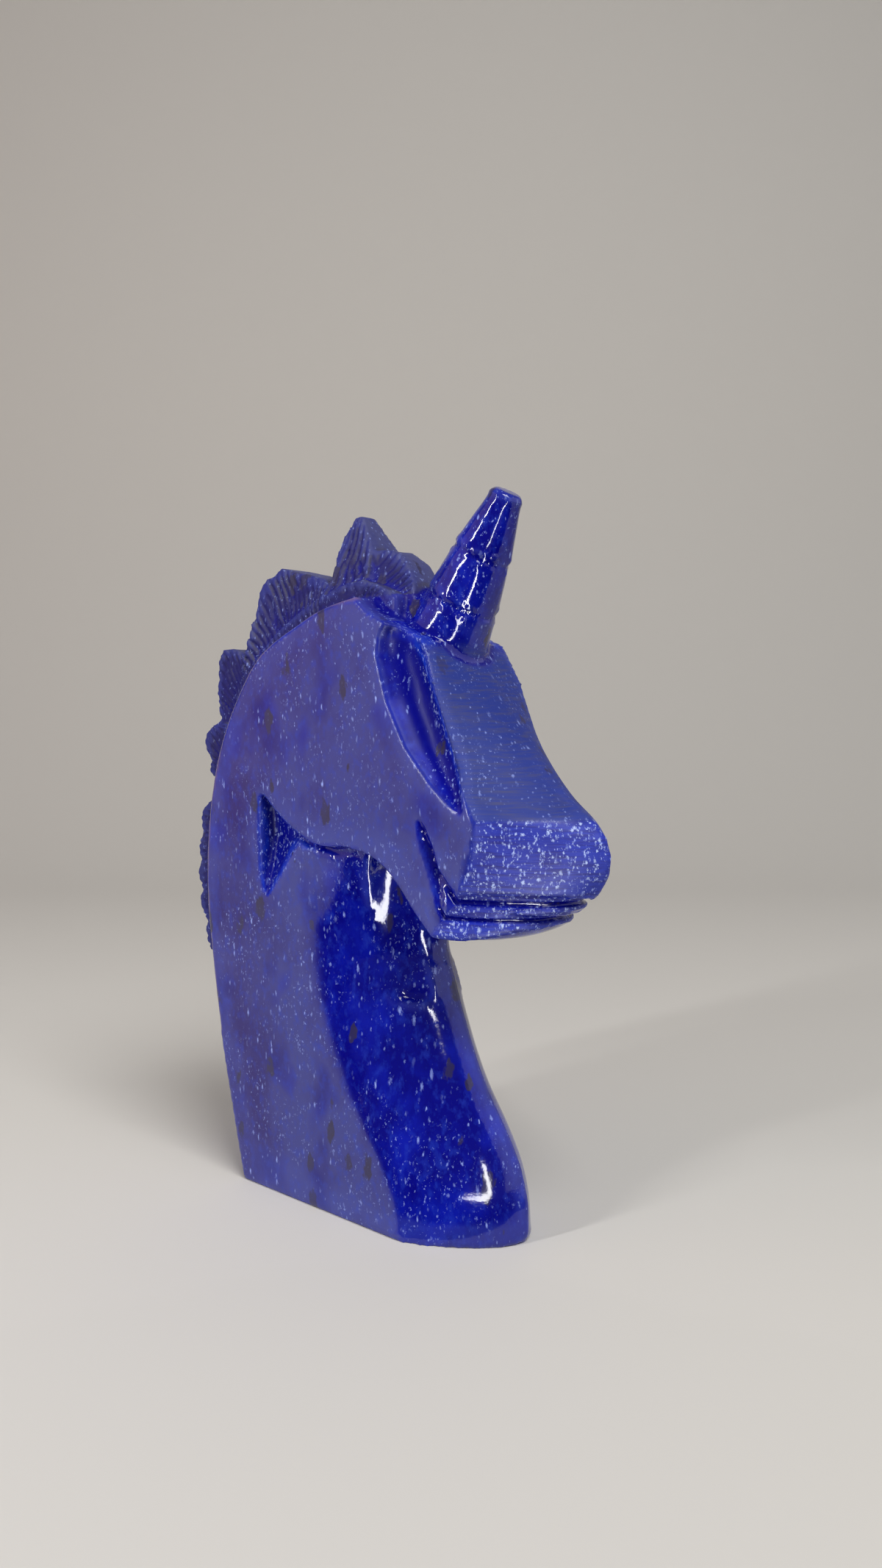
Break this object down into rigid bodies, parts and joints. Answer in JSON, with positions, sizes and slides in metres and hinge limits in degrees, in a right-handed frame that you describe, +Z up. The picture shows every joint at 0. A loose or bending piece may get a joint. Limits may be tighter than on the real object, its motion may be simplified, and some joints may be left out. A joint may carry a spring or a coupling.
{
  "type": "unicorn head carving",
  "caption": "Upright unicorn head bust carved from a flat-sided slab of polished dark blue stone, with a ringed horn, a notched mane and a flat underside.",
  "frame": {"origin": "bottom centre of the box around the carving, on the flat underside's plane", "axes": "+Z up, +X the way the unicorn faces, +Y to its left side"},
  "size_m": [0.111, 0.032, 0.1483],
  "materials": {
    "stone": "polished, with pale flecks"
  },
  "bodies": {
    "root": {"unicorn_head": "stone"}
  },
  "joints": []
}
